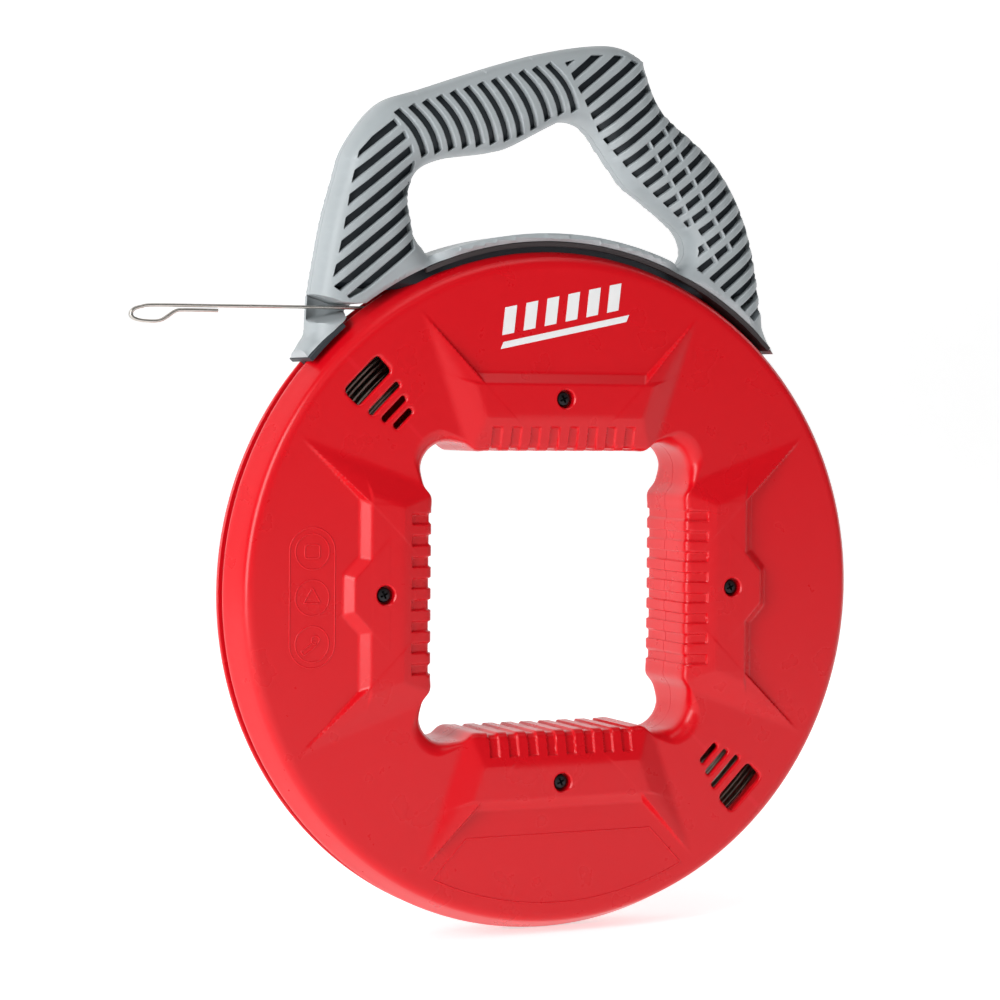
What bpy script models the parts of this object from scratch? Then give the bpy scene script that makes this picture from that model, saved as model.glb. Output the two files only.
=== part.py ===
"""Fish tape reel: two case halves on a coil of steel tape, and a handle that slides round the rim.

Metres, +Z up. The origin is in the middle of the handle's grip, where a hand holds it, on the
mid-plane. The front faces -Y, and the tape leaves the handle's nose towards -X. Every piece has
its own origin on the reel's axis, which the case turns about, along Y, through the parent empty
at REEL_AT. All lengths below are in millimetres from that axis, scaled once where points are made.
"""

import bmesh
import bpy
import math
from mathutils import Matrix

MM = 0.001
GAP = 0.3  # between solids that meet
WELD = 1e-5  # metres
REEL_AT = (19.0, 0.0, -224.0)  # the reel's centre, seen from the middle of the grip

# Case
RIM_R = 157.5
SHOULDER_R = 153.0
FACE_Y = 20.0  # from the mid-plane to the flat face
WALL = 2.5
SLOT_Y = 3.2  # half the width of the slot round the rim
LIP_R = 149.3  # inside radius of the two lips beside that slot
CAVITY_R = 97.0  # inside radius of the coil's chamber
OPEN_D = 64.0  # from the centre to each side of the hand opening
BUMP_Y = 24.0  # from the mid-plane to the top of a grip block
CREST_D = 79.0
FOOT_D = 99.5
SCREW_D = 87.8
RING_STEPS = 60

# Tape: 3.2 mm wide, 1.5 mm thick, about 36.6 m of it
TAPE_W = 3.2
TAPE_T = 1.5
TAPE_Z = 128.2  # height of the straight run that leaves the coil
COIL_R = (118.0, 126.8, 143.5)  # inside, floor of the lead's groove, outside
COIL_Y = (7.5, 4.8)  # half its width, and half the groove's
EXIT_X = -199.3  # the eye's far end

# Handle
GRIP_Y = 14.5  # half its thickness
PLATE = 3.5
SHELL = 3.0
BASE_R = 160.2
LEG_LOW = 129.8  # the lower edge of the handle's left leg, over the tape

RED = (0.78, 0.035, 0.045, 1)
GREY = (0.52, 0.56, 0.58, 1)
DARK = (0.03, 0.036, 0.042, 1)
STEEL = (0.62, 0.61, 0.59, 1)
BLACK = (0.02, 0.02, 0.022, 1)


def clear_scene():
    for obj in list(bpy.data.objects):
        bpy.data.objects.remove(obj)


def collection(name, hidden=False):
    made = bpy.data.collections.new(name)
    bpy.context.scene.collection.children.link(made)
    made.hide_render = hidden
    return made


def material(name, colour, roughness, metallic=0.0):
    made = bpy.data.materials.new(name)
    made.use_nodes = True
    shader = made.node_tree.nodes["Principled BSDF"]
    shader.inputs["Base Color"].default_value = colour
    shader.inputs["Roughness"].default_value = roughness
    shader.inputs["Metallic"].default_value = metallic
    made.diffuse_color = colour
    return made


def new_object(name, mesh, place, finish=None):
    obj = bpy.data.objects.new(name, mesh)
    place.objects.link(obj)
    obj.parent = AXIS
    if finish:
        mesh.materials.append(finish)
    if place.hide_render:
        obj.hide_render = True
        obj.display_type = "WIRE"
    return obj


def from_bmesh(name, shape, place, finish=None):
    mesh = bpy.data.meshes.new(name)
    bmesh.ops.recalc_face_normals(shape, faces=shape.faces)
    shape.to_mesh(mesh)
    shape.free()
    return new_object(name, mesh, place, finish)


def turned(name, profile, place, finish=None, steps=RING_STEPS, side=-1, centre=(0, 0)):
    """A ring or disc about Y: profile is (radius, distance from the mid-plane), closed, on one side."""
    mesh = bpy.data.meshes.new(name)
    points = [(r * MM, 0, h * MM) for r, h in profile]
    edges = [(i, (i + 1) % len(points)) for i in range(len(points))]
    if profile[0][0] == 0 and profile[-1][0] == 0:
        edges.pop()
    mesh.from_pydata(points, edges, [])
    obj = new_object(name, mesh, place, finish)
    obj.rotation_euler.x = -side * math.pi / 2
    obj.location = (centre[0] * MM, 0, centre[1] * MM)
    screw = obj.modifiers.new("Turn", "SCREW")
    screw.steps = steps
    screw.render_steps = steps
    screw.use_merge_vertices = True
    screw.merge_threshold = WELD
    screw.use_smooth_shade = True
    return obj


def plate(name, outlines, y_from, y_to, place, finish=None):
    """A flat piece: closed outlines of (x, z) points, from one distance along Y to another."""
    curve = bpy.data.curves.new(name, "CURVE")
    curve.dimensions = "2D"
    curve.fill_mode = "BOTH"
    curve.extrude = abs(y_to - y_from) / 2 * MM
    for outline in outlines:
        spline = curve.splines.new("POLY")
        spline.points.add(len(outline) - 1)
        spline.use_cyclic_u = True
        for point, (x, z) in zip(spline.points, outline):
            point.co = (x * MM, z * MM, 0, 1)
    guide = bpy.data.objects.new(name, curve)
    place.objects.link(guide)
    bpy.context.view_layer.update()
    graph = bpy.context.evaluated_depsgraph_get()
    mesh = bpy.data.meshes.new_from_object(guide.evaluated_get(graph))
    bpy.data.objects.remove(guide)
    shape = bmesh.new()
    shape.from_mesh(mesh)
    bmesh.ops.remove_doubles(shape, verts=shape.verts, dist=WELD)
    turn = Matrix.Translation((0, (y_from + y_to) / 2 * MM, 0)) @ Matrix.Rotation(math.pi / 2, 4, "X")
    bmesh.ops.transform(shape, matrix=turn, verts=shape.verts)
    return from_bmesh(name, shape, place, finish)


def hull(name, points, place):
    """The convex solid round (x, y, z) points."""
    shape = bmesh.new()
    for point in points:
        shape.verts.new([value * MM for value in point])
    result = bmesh.ops.convex_hull(shape, input=shape.verts)
    spare = [item for item in result["geom_interior"] if isinstance(item, bmesh.types.BMVert)]
    bmesh.ops.delete(shape, geom=spare, context="VERTS")
    return from_bmesh(name, shape, place)


def cylinder(name, centre, radius, y_from, y_to, place, finish=None, sides=20):
    """A round bar along Y at (x, z)."""
    shape = bmesh.new()
    length = abs(y_to - y_from) * MM
    radius *= MM
    bmesh.ops.create_cone(shape, cap_ends=True, segments=sides, radius1=radius, radius2=radius, depth=length)
    turn = Matrix.Rotation(-math.copysign(math.pi / 2, y_to - y_from), 4, "X")
    place_at = Matrix.Translation((centre[0] * MM, (y_from + y_to) / 2 * MM, centre[1] * MM))
    bmesh.ops.transform(shape, matrix=place_at @ turn, verts=shape.verts)
    return from_bmesh(name, shape, place, finish)


def combine(obj, operation, others):
    for other in others:
        step = obj.modifiers.new(f"{operation.title()} {other.name}", "BOOLEAN")
        step.operation = operation
        step.object = other


def polar(radius, degrees):
    return radius * math.cos(math.radians(degrees)), radius * math.sin(math.radians(degrees))


def arc(centre, radius, start, end, count):
    points = []
    for i in range(count + 1):
        x, z = polar(radius, start + (end - start) * i / count)
        points.append((centre[0] + x, centre[1] + z))
    return points


def turned_about(points, degrees):
    c, s = math.cos(math.radians(degrees)), math.sin(math.radians(degrees))
    return [(x * c - z * s, x * s + z * c) for x, z in points]


def smooth(points, count, closed=True):
    """A Catmull-Rom curve through the points, with count steps between each two."""
    total = len(points)
    curve = []
    for i in range(total if closed else total - 1):
        near = [points[(i + k) % total] if closed else points[min(max(i + k, 0), total - 1)] for k in (-1, 0, 1, 2)]
        for step in range(count):
            t = step / count
            weights = (
                (-t**3 + 2 * t**2 - t) / 2,
                (3 * t**3 - 5 * t**2 + 2) / 2,
                (-3 * t**3 + 4 * t**2 + t) / 2,
                (t**3 - t**2) / 2,
            )
            curve.append(tuple(sum(w * p[axis] for w, p in zip(weights, near)) for axis in (0, 1)))
    if not closed:
        curve.append(points[-1])
    return curve


def inset(points, distance):
    """A closed anticlockwise outline moved inwards."""
    moved = []
    for i, (x, z) in enumerate(points):
        before, after = points[i - 1], points[(i + 1) % len(points)]
        run = (after[0] - before[0], after[1] - before[1])
        length = math.hypot(*run)
        moved.append((x - run[1] / length * distance, z + run[0] / length * distance))
    return moved


def slab(centre, along, length, width):
    """The outline of a straight slot."""
    c, s = math.cos(math.radians(along)), math.sin(math.radians(along))
    corners = ((-1, -1), (1, -1), (1, 1), (-1, 1))
    half = (length / 2, width / 2)
    return [
        (centre[0] + a * half[0] * c - b * half[1] * s, centre[1] + a * half[0] * s + b * half[1] * c)
        for a, b in corners
    ]


# ---------------------------------------------------------------- case

def opening_outline():
    """The hand opening: four straight sides, each pair joined round a lobed corner."""
    corner = [(OPEN_D, 43), (67.5, 48), (68, 54)] + arc((55, 55), 13, 8, 82, 5) + [(54, 68), (48, 67.5), (43, OPEN_D)]
    return [point for quarter in range(4) for point in turned_about(corner, 90 * quarter)]


def grip_block(name, side, degrees, notched, place):
    """The faceted block on one side of the opening: a middle, two wings and, on two of them, a nose."""
    def solid(label, points):
        placed = []
        for d, w, y in points:
            x, z = turned_about([(d, w)], degrees)[0]
            placed.append((x, side * y, z))
        return hull(f"{name}_{label}", placed, place)

    low = FACE_Y - 2
    middle = [(OPEN_D + 0.01, w, y) for w, y in ((-43, 20.5), (43, 20.5), (-43, low - 1), (43, low - 1))]
    for sign in (-1, 1):
        middle += [(CREST_D, sign * 39.5, BUMP_Y), (94.5, sign * 40.5, BUMP_Y)]
        middle += [(FOOT_D, sign * 42.5, FACE_Y), (FOOT_D, sign * 42.5, low), (66, sign * 47.5, low)]
    made = [solid("middle", middle)]
    for sign, label in ((-1, "wing_a"), (1, "wing_b")):
        wing = [(CREST_D, sign * 39.4, BUMP_Y), (94.4, sign * 40.4, BUMP_Y), (125, sign * 68.5, FACE_Y)]
        wing += [(98, sign * 38, low), (125, sign * 68.5, low), (67, sign * 48, low), (67, sign * 48, FACE_Y)]
        wing += [(FOOT_D, sign * 43, FACE_Y)]
        made.append(solid(label, wing))
    if notched:
        nose = []
        for sign in (-1, 1):
            nose += [(93, sign * 16, BUMP_Y), (102.5, sign * 7.5, BUMP_Y), (107, sign * 9, FACE_Y)]
            nose += [(98, sign * 17.5, FACE_Y), (92, sign * 17, low), (107, sign * 9, low)]
        made.append(solid("nose", nose))
    return made


def window_outlines():
    """One large window and three slots, across the line at 135 degrees."""
    rows = ((134.7, 10.5, 11.5), (123.6, 3.1, 9.8), (117.0, 3.1, 7.6), (110.9, 3.1, 5.8))
    outlines = []
    for radius, width, half in rows:
        shape = slab((radius, 0), 90, 2 * half, width)
        outlines.append(turned_about(shape, 135))
    return outlines


def case_half(name, side, parts, cutters, red):
    profile = [(55, FACE_Y), (148, FACE_Y), (151.2, 19.2), (SHOULDER_R, 17), (RIM_R, 4.6), (RIM_R, SLOT_Y)]
    profile += [(LIP_R - 0.5, SLOT_Y), (LIP_R - 0.5, GAP / 2), (55, GAP / 2)]
    half = turned(name, profile, parts, red, side=side)
    blocks = []
    for quarter in range(4):
        blocks += grip_block(f"{name}_block_{quarter}", side, 90 * quarter, quarter % 2 == 0, cutters)
    combine(half, "UNION", blocks)

    floor = FACE_Y - WALL
    chamber = [(CAVITY_R, floor), (148.3, floor), (150, 16), (153.4, 5.8), (LIP_R, 5.8), (LIP_R, -1), (CAVITY_R, -1)]
    cuts = [turned(f"{name}_chamber", chamber, cutters, side=side)]
    cuts.append(plate(f"{name}_opening", [opening_outline()], side * -2, side * 30, cutters))
    for quarter in range(4):
        centre = turned_about([(78.5, 0)], 90 * quarter)[0]
        pocket = plate(
            f"{name}_pocket_{quarter}", [slab(centre, 90 * quarter, 21, 74)], side * -1, side * floor, cutters
        )
        screw_at = turned_about([(SCREW_D, 0)], 90 * quarter)[0]
        post = cylinder(f"{name}_post_{quarter}", screw_at, 5, side * -3, side * 22, cutters, sides=16)
        combine(pocket, "DIFFERENCE", [post])
        cuts.append(pocket)
        if side < 0:
            cuts.append(cylinder(f"{name}_hole_{quarter}", screw_at, 2.3, 2, -30, cutters, sides=16))
            cuts.append(cylinder(f"{name}_recess_{quarter}", screw_at, 4.4, -19, -30, cutters, sides=20))
        else:
            cuts.append(cylinder(f"{name}_hole_{quarter}", screw_at, 1.9, -2, 14, cutters, sides=16))
    for i, outline in enumerate(window_outlines()):
        for end in (0, 180):
            cuts.append(
                plate(f"{name}_window_{i}_{end}", [turned_about(outline, end)], side * 14, side * 26, cutters)
            )
    combine(half, "DIFFERENCE", cuts)
    return half


def pan_screw(name, centre, head_y, tip_y, parts, finish, head_r=3.5, shank_r=1.5):
    """A pan-head screw along Y, its head's outer face at head_y."""
    into = math.copysign(1, tip_y - head_y)
    profile = [(0, 0), (head_r * 0.75, 0), (head_r, 0.8), (head_r, 2.2), (shank_r, 2.4)]
    profile += [(shank_r, abs(tip_y - head_y) - 1.5), (0, abs(tip_y - head_y))]
    screw = turned(name, profile, parts, finish, steps=16, side=into, centre=centre)
    screw.location.y = head_y * MM
    cross = []
    for angle in (0, 90):
        outline = slab(centre, angle + 20, 3.6, 0.8)
        cross.append(plate(f"{name}_drive_{angle}", [outline], head_y - into * 1, head_y + into * 1.4, CUTTERS))
    combine(screw, "DIFFERENCE", cross)
    return screw


# ---------------------------------------------------------------- tape

ANCHOR = polar(106, 225)  # the post that the tape's inner end is fixed to


def add_coil(parts, steel):
    """The wound tape as one ring, with a groove at the mid-plane that the leading end runs in."""
    inner, floor, outer = COIL_R
    wide, groove = COIL_Y
    profile = [(inner, wide), (outer, wide), (outer, groove), (floor, groove)]
    profile += [(floor, -groove), (outer, -groove), (outer, -wide), (inner, -wide)]
    turned("tape_coil", profile, parts, steel)


def add_anchor(parts, cutters, case_rear, steel, black):
    """The clip that holds the tape's inner end, screwed to a post in the rear half."""
    post = cylinder("anchor_post", ANCHOR, 5, 18.5, 7, cutters, sides=16)
    combine(case_rear, "UNION", [post])
    pilot = cylinder("anchor_pilot", ANCHOR, 1.7, 3, 16, cutters, sides=12)
    combine(case_rear, "DIFFERENCE", [pilot])
    clip = plate("tape_anchor_clip", [slab(ANCHOR, 225, 16, 14)], 4.4, 6.7, parts, steel)
    hole = cylinder("anchor_hole", ANCHOR, 1.9, 0, 10, cutters, sides=12)
    combine(clip, "DIFFERENCE", [hole])
    pan_screw("tape_anchor_screw", ANCHOR, 1.6, 14.5, parts, black, head_r=3, shank_r=1.3)


def tape_path():
    """The leading end of the tape, from where it leaves the coil to the eye bent at its tip."""
    run = [(0, TAPE_Z), (-60, TAPE_Z - 0.2), (-130, TAPE_Z - 0.5), (-188, TAPE_Z - 1.1)]
    eye = smooth([(-193.5, 126.4), (-197.6, 125.2), (EXIT_X + 1, 123.2), (-197.2, 121.2), (-192, 120.2)], 3, False)
    back = [(-185, 120.6), (-178.5, 124.6), (-175, 125.2), (-159, 125.3)]
    return run + eye + back


def add_lead(parts, steel):
    """The path thickened to both sides, in (x, z), and as wide as the tape."""
    path = tape_path()
    sides = ([], [])
    for i, (x, z) in enumerate(path):
        before, after = path[max(i - 1, 0)], path[min(i + 1, len(path) - 1)]
        run = (after[0] - before[0], after[1] - before[1])
        length = math.hypot(*run)
        for sign, side in zip((1, -1), sides):
            side.append((x - sign * run[1] / length * TAPE_T / 2, z + sign * run[0] / length * TAPE_T / 2))
    outline = sides[0] + sides[1][::-1]
    plate("tape_lead", [outline], -TAPE_W / 2, TAPE_W / 2, parts, steel)


# ---------------------------------------------------------------- handle

def handle_outline(tips=True):
    """The handle seen from the front, anticlockwise: nose, base along the rim, heel, grip, neck.

    Without its tips, the thin nose and heel, it is the outline that the hollow inside follows.
    """
    base = arc((0, 0), BASE_R, 138.5, 43.5, 26) if tips else arc((0, 0), BASE_R, 125.8, 48, 22)
    heel = [(117.5, 112.5), (114, 118), (112, 124)] if tips else [(110, 126)]
    right = smooth([(111.3, 130), (106.2, 158), (98.2, 180.5), (83, 202.4), (57, 223.3), (48.5, 240)], 3, False)
    top = smooth([(45, 247.5), (27, 252.1), (-12, 244.8), (-62, 228), (-84, 219.5), (-99.5, 200.5)], 3, False)
    left = [(-105, 184.5), (-109.7, 168), (-113, 151.5)]
    left += [(-115.7, 135.5), (-116.6, 124.5), (-117.4, 114)] if tips else [(-113.5, 137), (-108, 130)]
    return base + heel + right + top + left


def finger_outline():
    """The gap that the fingers go through, anticlockwise too."""
    floor = arc((0, 0), BASE_R + 3.6, 112, 66.5, 11)
    wall = [(70, 152.5), (72.5, 157), (72, 162), (69.5, 166.5), (63, 172), (47.5, 183), (41, 187.5), (31, 199.5)]
    wall += [(21.5, 211.5), (14, 215.8), (6, 216), (-1, 213), (-19.8, 203.3), (-29.8, 200.1), (-49.6, 197)]
    wall += [(-60, 194), (-66.5, 190), (-70.2, 183), (-71, 175.5), (-69.6, 168.3), (-68, 161)]
    return floor + wall


def grip_slots():
    """The slots through each handle half's face: slanted on both legs, upright along the grip."""
    slots = []
    for i in range(8):
        t = i / 7
        slots.append(slab((-91 - 3.5 * t, 203 - 58 * t), 42, 25 + 13 * t, 3))
    for i in range(12):
        t = i / 11
        slots.append(slab((-72.3 + 76 * t, 205.7 + 26 * t), 107 + 10 * t, 18, 3))
    leg = smooth([(28, 235), (45, 217), (62, 200), (79, 184), (89, 166), (95, 150), (101, 134)], 2, False)
    for i, centre in enumerate(leg):
        slots.append(slab(centre, 42, 17 + 9 * abs(1 - i / 6), 3))
    return slots


def handle_screw_places():
    return ((-99, 139), (-84, 209), (33, 240), (86, 176), (103, 132))


def nose_outline(gap):
    """The tape guide's outline: the horn below the tape and the funnel's rear wall, up to the left leg."""
    base = arc((0, 0), BASE_R, 138.5, 126.1, 6)
    return base + [(-109, LEG_LOW - gap), (-116.2, LEG_LOW + 1.1 - gap), (-117.4, 114)]


def nose_space():
    """What the tape guide leaves of the handle's halves: everything below the left leg's lower edge."""
    return [(-88, 95), (-88, LEG_LOW), (-109, LEG_LOW), (-116.2, LEG_LOW + 1.1), (-140, 135), (-140, 95)]


def mouth_outline():
    """The funnel in the guide that the tape runs out through."""
    floor = [(-130, 114), (-118, 114), (-115, 119), (-109, 122), (-100, 124.2), (-90, 124.2)]
    return floor + [(-90, 135), (-130, 135)]


def tongue_outline(gap):
    """The guide's tongue, which is held in the rear half's hollow."""
    return [(-106 - gap, 125), (-98 + gap, 125), (-98 + gap, 135.5 + gap), (-106 - gap, 135.5 + gap)]


def inside_handle(name, distance, y_from, y_to, place, finish=None):
    """The space within the handle's walls, which are the outline and the finger gap's edge."""
    space = plate(name, [inset(handle_outline(tips=False), distance)], y_from, y_to, place, finish)
    wall = plate(f"{name}_wall", [inset(finger_outline()[::-1], distance)], y_from * 2, y_to * 2, CUTTERS)
    combine(space, "DIFFERENCE", [wall])
    return space


def handle_half(name, side, parts, cutters, grey):
    half = plate(name, [handle_outline(), finger_outline()], side * GAP / 2, side * GRIP_Y, parts, grey)
    cuts = [inside_handle(f"{name}_hollow", SHELL, side * -1, side * (GRIP_Y - PLATE), cutters)]
    cuts += [plate(f"{name}_slot_{i}", [slot], side * 9, side * 17, cutters) for i, slot in enumerate(grip_slots())]
    cuts.append(plate(f"{name}_nose_space", [nose_space()], side * -1, side * 20, cutters))
    combine(half, "DIFFERENCE", cuts)
    return half


def add_handle(parts, cutters, grey, dark, black):
    front = handle_half("handle_front", -1, parts, cutters, grey)
    rear = handle_half("handle_rear", 1, parts, cutters, grey)
    combine(rear, "DIFFERENCE", [plate("tongue_seat", [tongue_outline(GAP)], 6.2, 9.3, cutters)])
    depth = GRIP_Y - PLATE - GAP
    core = inside_handle("handle_core", SHELL + GAP, -depth, depth, parts, dark)
    notch = plate("core_mouth", [[(-135, 95), (-84, 95), (-84, 136), (-135, 136)]], -20, 20, cutters)
    combine(core, "DIFFERENCE", [notch])
    for i, place in enumerate(handle_screw_places()):
        post = cylinder(f"handle_post_{i}", place, 3.4, -13, -0.5, cutters, sides=16)
        pilot = cylinder(f"handle_pilot_{i}", place, 1.9, -9.5, 2, cutters, sides=12)
        around = cylinder(f"core_hole_{i}", place, 3.8, -16, 16, cutters, sides=16)
        bore = cylinder(f"handle_bore_{i}", place, 2.0, 6, 20, cutters, sides=16)
        recess = cylinder(f"handle_recess_{i}", place, 3.7, 12.4, 20, cutters, sides=20)
        combine(front, "UNION", [post])
        combine(front, "DIFFERENCE", [pilot])
        combine(core, "DIFFERENCE", [around])
        combine(rear, "DIFFERENCE", [bore, recess])
        pan_screw(f"handle_screw_{i + 1}", place, 15, -8, parts, black, head_r=3.2, shank_r=1.5)


def add_shoes(parts, dark):
    """The two low-friction shoes: a band on the rim, a neck in the slot and a head behind the lips."""
    for name, start, end in (("slide_shoe", 114, 45), ("nose_shoe", 139, 131)):
        count = max(2, round(abs(end - start) / 3))
        band = arc((0, 0), BASE_R - GAP, start, end, count) + arc((0, 0), RIM_R + GAP, end, start, count)
        shoe = plate(name, [band], -13, 13, parts, dark)
        neck = arc((0, 0), RIM_R + 1, start, end, count) + arc((0, 0), 147, end, start, count)
        head = arc((0, 0), LIP_R - 0.4, start, end, count) + arc((0, 0), 144.5, end, start, count)
        combine(shoe, "UNION", [
            plate(f"{name}_neck", [neck], -2.6, 2.6, CUTTERS),
            plate(f"{name}_head", [head], -6, 6, CUTTERS),
        ])


def add_guide(parts, cutters, grey):
    """The flared nose piece below the left leg, whose mouth keeps the tape in line with the slot."""
    guide = plate("tape_guide", [nose_outline(GAP)], -GRIP_Y, GRIP_Y, parts, grey)
    combine(guide, "DIFFERENCE", [plate("guide_mouth", [mouth_outline()], -20, 6, cutters)])
    combine(guide, "UNION", [plate("guide_tongue", [tongue_outline(0)], 6.5, 9, cutters)])


clear_scene()
AXIS = bpy.data.objects.new("reel_axis", None)
bpy.context.scene.collection.objects.link(AXIS)
AXIS.location = [value * MM for value in REEL_AT]
PARTS = collection("fish_tape_reel")
CUTTERS = collection("cutters", hidden=True)


def main():
    red = material("case_red", RED, 0.35)
    grey = material("handle_grey", GREY, 0.5)
    dark = material("dark_nylon", DARK, 0.6)
    steel = material("tape_steel", STEEL, 0.3, 1.0)
    black = material("screw_black", BLACK, 0.35, 0.6)
    case_half("case_front", -1, PARTS, CUTTERS, red)
    case_rear = case_half("case_rear", 1, PARTS, CUTTERS, red)
    for quarter, label in enumerate(("right", "top", "left", "bottom")):
        place = turned_about([(SCREW_D, 0)], 90 * quarter)[0]
        pan_screw(f"case_screw_{label}", place, -21.6, 11, PARTS, black)
    add_coil(PARTS, steel)
    add_anchor(PARTS, CUTTERS, case_rear, steel, black)
    add_lead(PARTS, steel)
    add_handle(PARTS, CUTTERS, grey, dark, black)
    add_shoes(PARTS, dark)
    add_guide(PARTS, CUTTERS, grey)


main()
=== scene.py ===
"""The looks of the fish tape reel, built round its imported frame.

Lengths are in millimetres from the reel's axis, with x to the right, z up and y into the picture.
place() turns them into metres in the frame. The case and the handle are each made once, as the
front half, and mirrored for the rear one.
"""

import math

import bmesh
import bpy
import numpy as np
from mathutils import Matrix, Vector
from mathutils.geometry import delaunay_2d_cdt


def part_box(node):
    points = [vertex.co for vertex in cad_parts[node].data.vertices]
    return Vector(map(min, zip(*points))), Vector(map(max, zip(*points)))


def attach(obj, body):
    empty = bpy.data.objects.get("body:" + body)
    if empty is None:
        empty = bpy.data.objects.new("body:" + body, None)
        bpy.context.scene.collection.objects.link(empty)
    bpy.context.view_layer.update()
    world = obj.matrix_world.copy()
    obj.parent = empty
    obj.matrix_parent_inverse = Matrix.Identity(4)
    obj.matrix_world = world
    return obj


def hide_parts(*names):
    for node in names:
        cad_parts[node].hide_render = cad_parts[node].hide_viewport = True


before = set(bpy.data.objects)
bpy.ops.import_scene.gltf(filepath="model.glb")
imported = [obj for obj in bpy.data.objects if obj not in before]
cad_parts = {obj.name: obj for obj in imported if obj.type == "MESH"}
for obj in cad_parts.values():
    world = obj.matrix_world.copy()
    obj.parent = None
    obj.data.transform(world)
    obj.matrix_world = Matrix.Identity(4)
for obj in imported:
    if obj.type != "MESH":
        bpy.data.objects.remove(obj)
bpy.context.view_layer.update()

MM = 0.001
CASE_LOW, CASE_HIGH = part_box("case_front")
REEL = Vector(((CASE_LOW.x + CASE_HIGH.x) / 2, 0, (CASE_LOW.z + CASE_HIGH.z) / 2))
RIM_R = (CASE_HIGH.x - CASE_LOW.x) / 2 / MM
HANDLE_Y = -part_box("handle_front")[0].y / MM
BLOCK_Y = -CASE_LOW.y / MM

FACE_Y = 20.0  # from the mid-plane to the flat face
WALL = 2.5  # how thick the face is
SEAM = 0.15  # half the gap between two halves
CREST_D = 79.0  # from the centre to a grip block's crest
OPEN_D = 64.0  # from the centre to each side of the hand opening
SCREW_D = 87.8  # from the centre to each case screw
BASE_R = 160.2  # the handle's base, round the rim
TAPE_Z = 128.2  # the tape's height on its way out
TAPE_T = 1.5  # its thickness
TAPE_W = 3.2  # its width
CHAMBER_R = 97.0  # the inner wall of the tape's chamber
LIP_R = 149.3  # the inner edge of the lips at the slot round the rim
FACE_END_R = 147.5  # where the flat face ends and the shoulder starts
SLOT_Y = 3.2  # half the width of the slot round the rim


# ---------------------------------------------------------------- making meshes

def place(points):
    """Millimetres from the reel's axis to metres in the frame."""
    return np.asarray(points, float) * MM + np.array(REEL)


def new_piece(name, points, faces, finish, smooth_angle):
    """A mesh object from points in millimetres; an angle of 0 leaves it flat shaded."""
    mesh = bpy.data.meshes.new(name)
    mesh.from_pydata(place(points).tolist(), [], faces)
    shape = bmesh.new()
    shape.from_mesh(mesh)
    bmesh.ops.recalc_face_normals(shape, faces=shape.faces)
    shape.to_mesh(mesh)
    shape.free()
    obj = bpy.data.objects.new(name, mesh)
    bpy.context.scene.collection.objects.link(obj)
    if finish:
        mesh.materials.append(finish)
    if smooth_angle:
        mesh.shade_smooth()
        mesh.set_sharp_from_angle(angle=math.radians(smooth_angle))
    return obj


def apply_modifiers(obj, smooth_angle):
    """Replaces the mesh with what its modifiers make of it."""
    graph = bpy.context.evaluated_depsgraph_get()
    mesh = bpy.data.meshes.new_from_object(obj.evaluated_get(graph))
    obj.modifiers.clear()
    obj.data = mesh
    mesh.shade_smooth()
    mesh.set_sharp_from_angle(angle=math.radians(smooth_angle))


def cut(obj, cutters, smooth_angle, operation="DIFFERENCE"):
    """Cuts or joins with closed solids, which are removed afterwards."""
    for cutter in cutters:
        modifier = obj.modifiers.new("cut", "BOOLEAN")
        modifier.operation = operation
        modifier.object = cutter
        modifier.solver = "MANIFOLD"
    apply_modifiers(obj, smooth_angle)
    for cutter in cutters:
        bpy.data.objects.remove(cutter)
    return obj


def mirrored(obj, name):
    """A copy on the other side of the mid-plane."""
    mesh = obj.data.copy()
    mesh.transform(Matrix.Scale(-1, 4, (0, 1, 0)))
    mesh.flip_normals()
    twin = bpy.data.objects.new(name, mesh)
    bpy.context.scene.collection.objects.link(twin)
    return twin


def grid_faces(rows, columns, closed_rows=False, closed_columns=True):
    """Quads of a grid whose points run along a row first."""
    row_total = rows if closed_rows else rows - 1
    column_total = columns if closed_columns else columns - 1
    r, c = np.meshgrid(np.arange(row_total), np.arange(column_total), indexing="ij")
    r2, c2 = (r + 1) % rows, (c + 1) % columns
    quads = np.stack([r * columns + c, r * columns + c2, r2 * columns + c2, r2 * columns + c], -1)
    return quads.reshape(-1, 4).tolist()


def polar(radius, degrees):
    return radius * math.cos(math.radians(degrees)), radius * math.sin(math.radians(degrees))


def arc(centre, radius, start, end, count):
    return [tuple(np.add(centre, polar(radius, start + (end - start) * i / count))) for i in range(count + 1)]


def turned_about(points, degrees):
    c, s = math.cos(math.radians(degrees)), math.sin(math.radians(degrees))
    return [(x * c - z * s, x * s + z * c) for x, z in points]


def smooth(points, count):
    """An open Catmull-Rom curve through the points, with count steps between each two."""
    curve = []
    for i in range(len(points) - 1):
        near = [np.array(points[min(max(i + k, 0), len(points) - 1)], float) for k in (-1, 0, 1, 2)]
        for step in range(count):
            t = step / count
            weights = ((-t**3 + 2 * t**2 - t) / 2, (3 * t**3 - 5 * t**2 + 2) / 2,
                       (-3 * t**3 + 4 * t**2 + t) / 2, (t**3 - t**2) / 2)
            curve.append(tuple(sum(w * p for w, p in zip(weights, near))))
    curve.append(tuple(points[-1]))
    return curve


def inset(points, distances):
    """A closed anticlockwise outline moved inwards, by one distance or one for each point."""
    p = np.asarray(points, float)
    run = np.roll(p, -1, 0) - np.roll(p, 1, 0)
    run /= np.linalg.norm(run, axis=1, keepdims=True)
    normal = np.stack([-run[:, 1], run[:, 0]], -1)
    return p + normal * np.reshape(distances, (-1, 1) if np.ndim(distances) else (1, 1))


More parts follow.
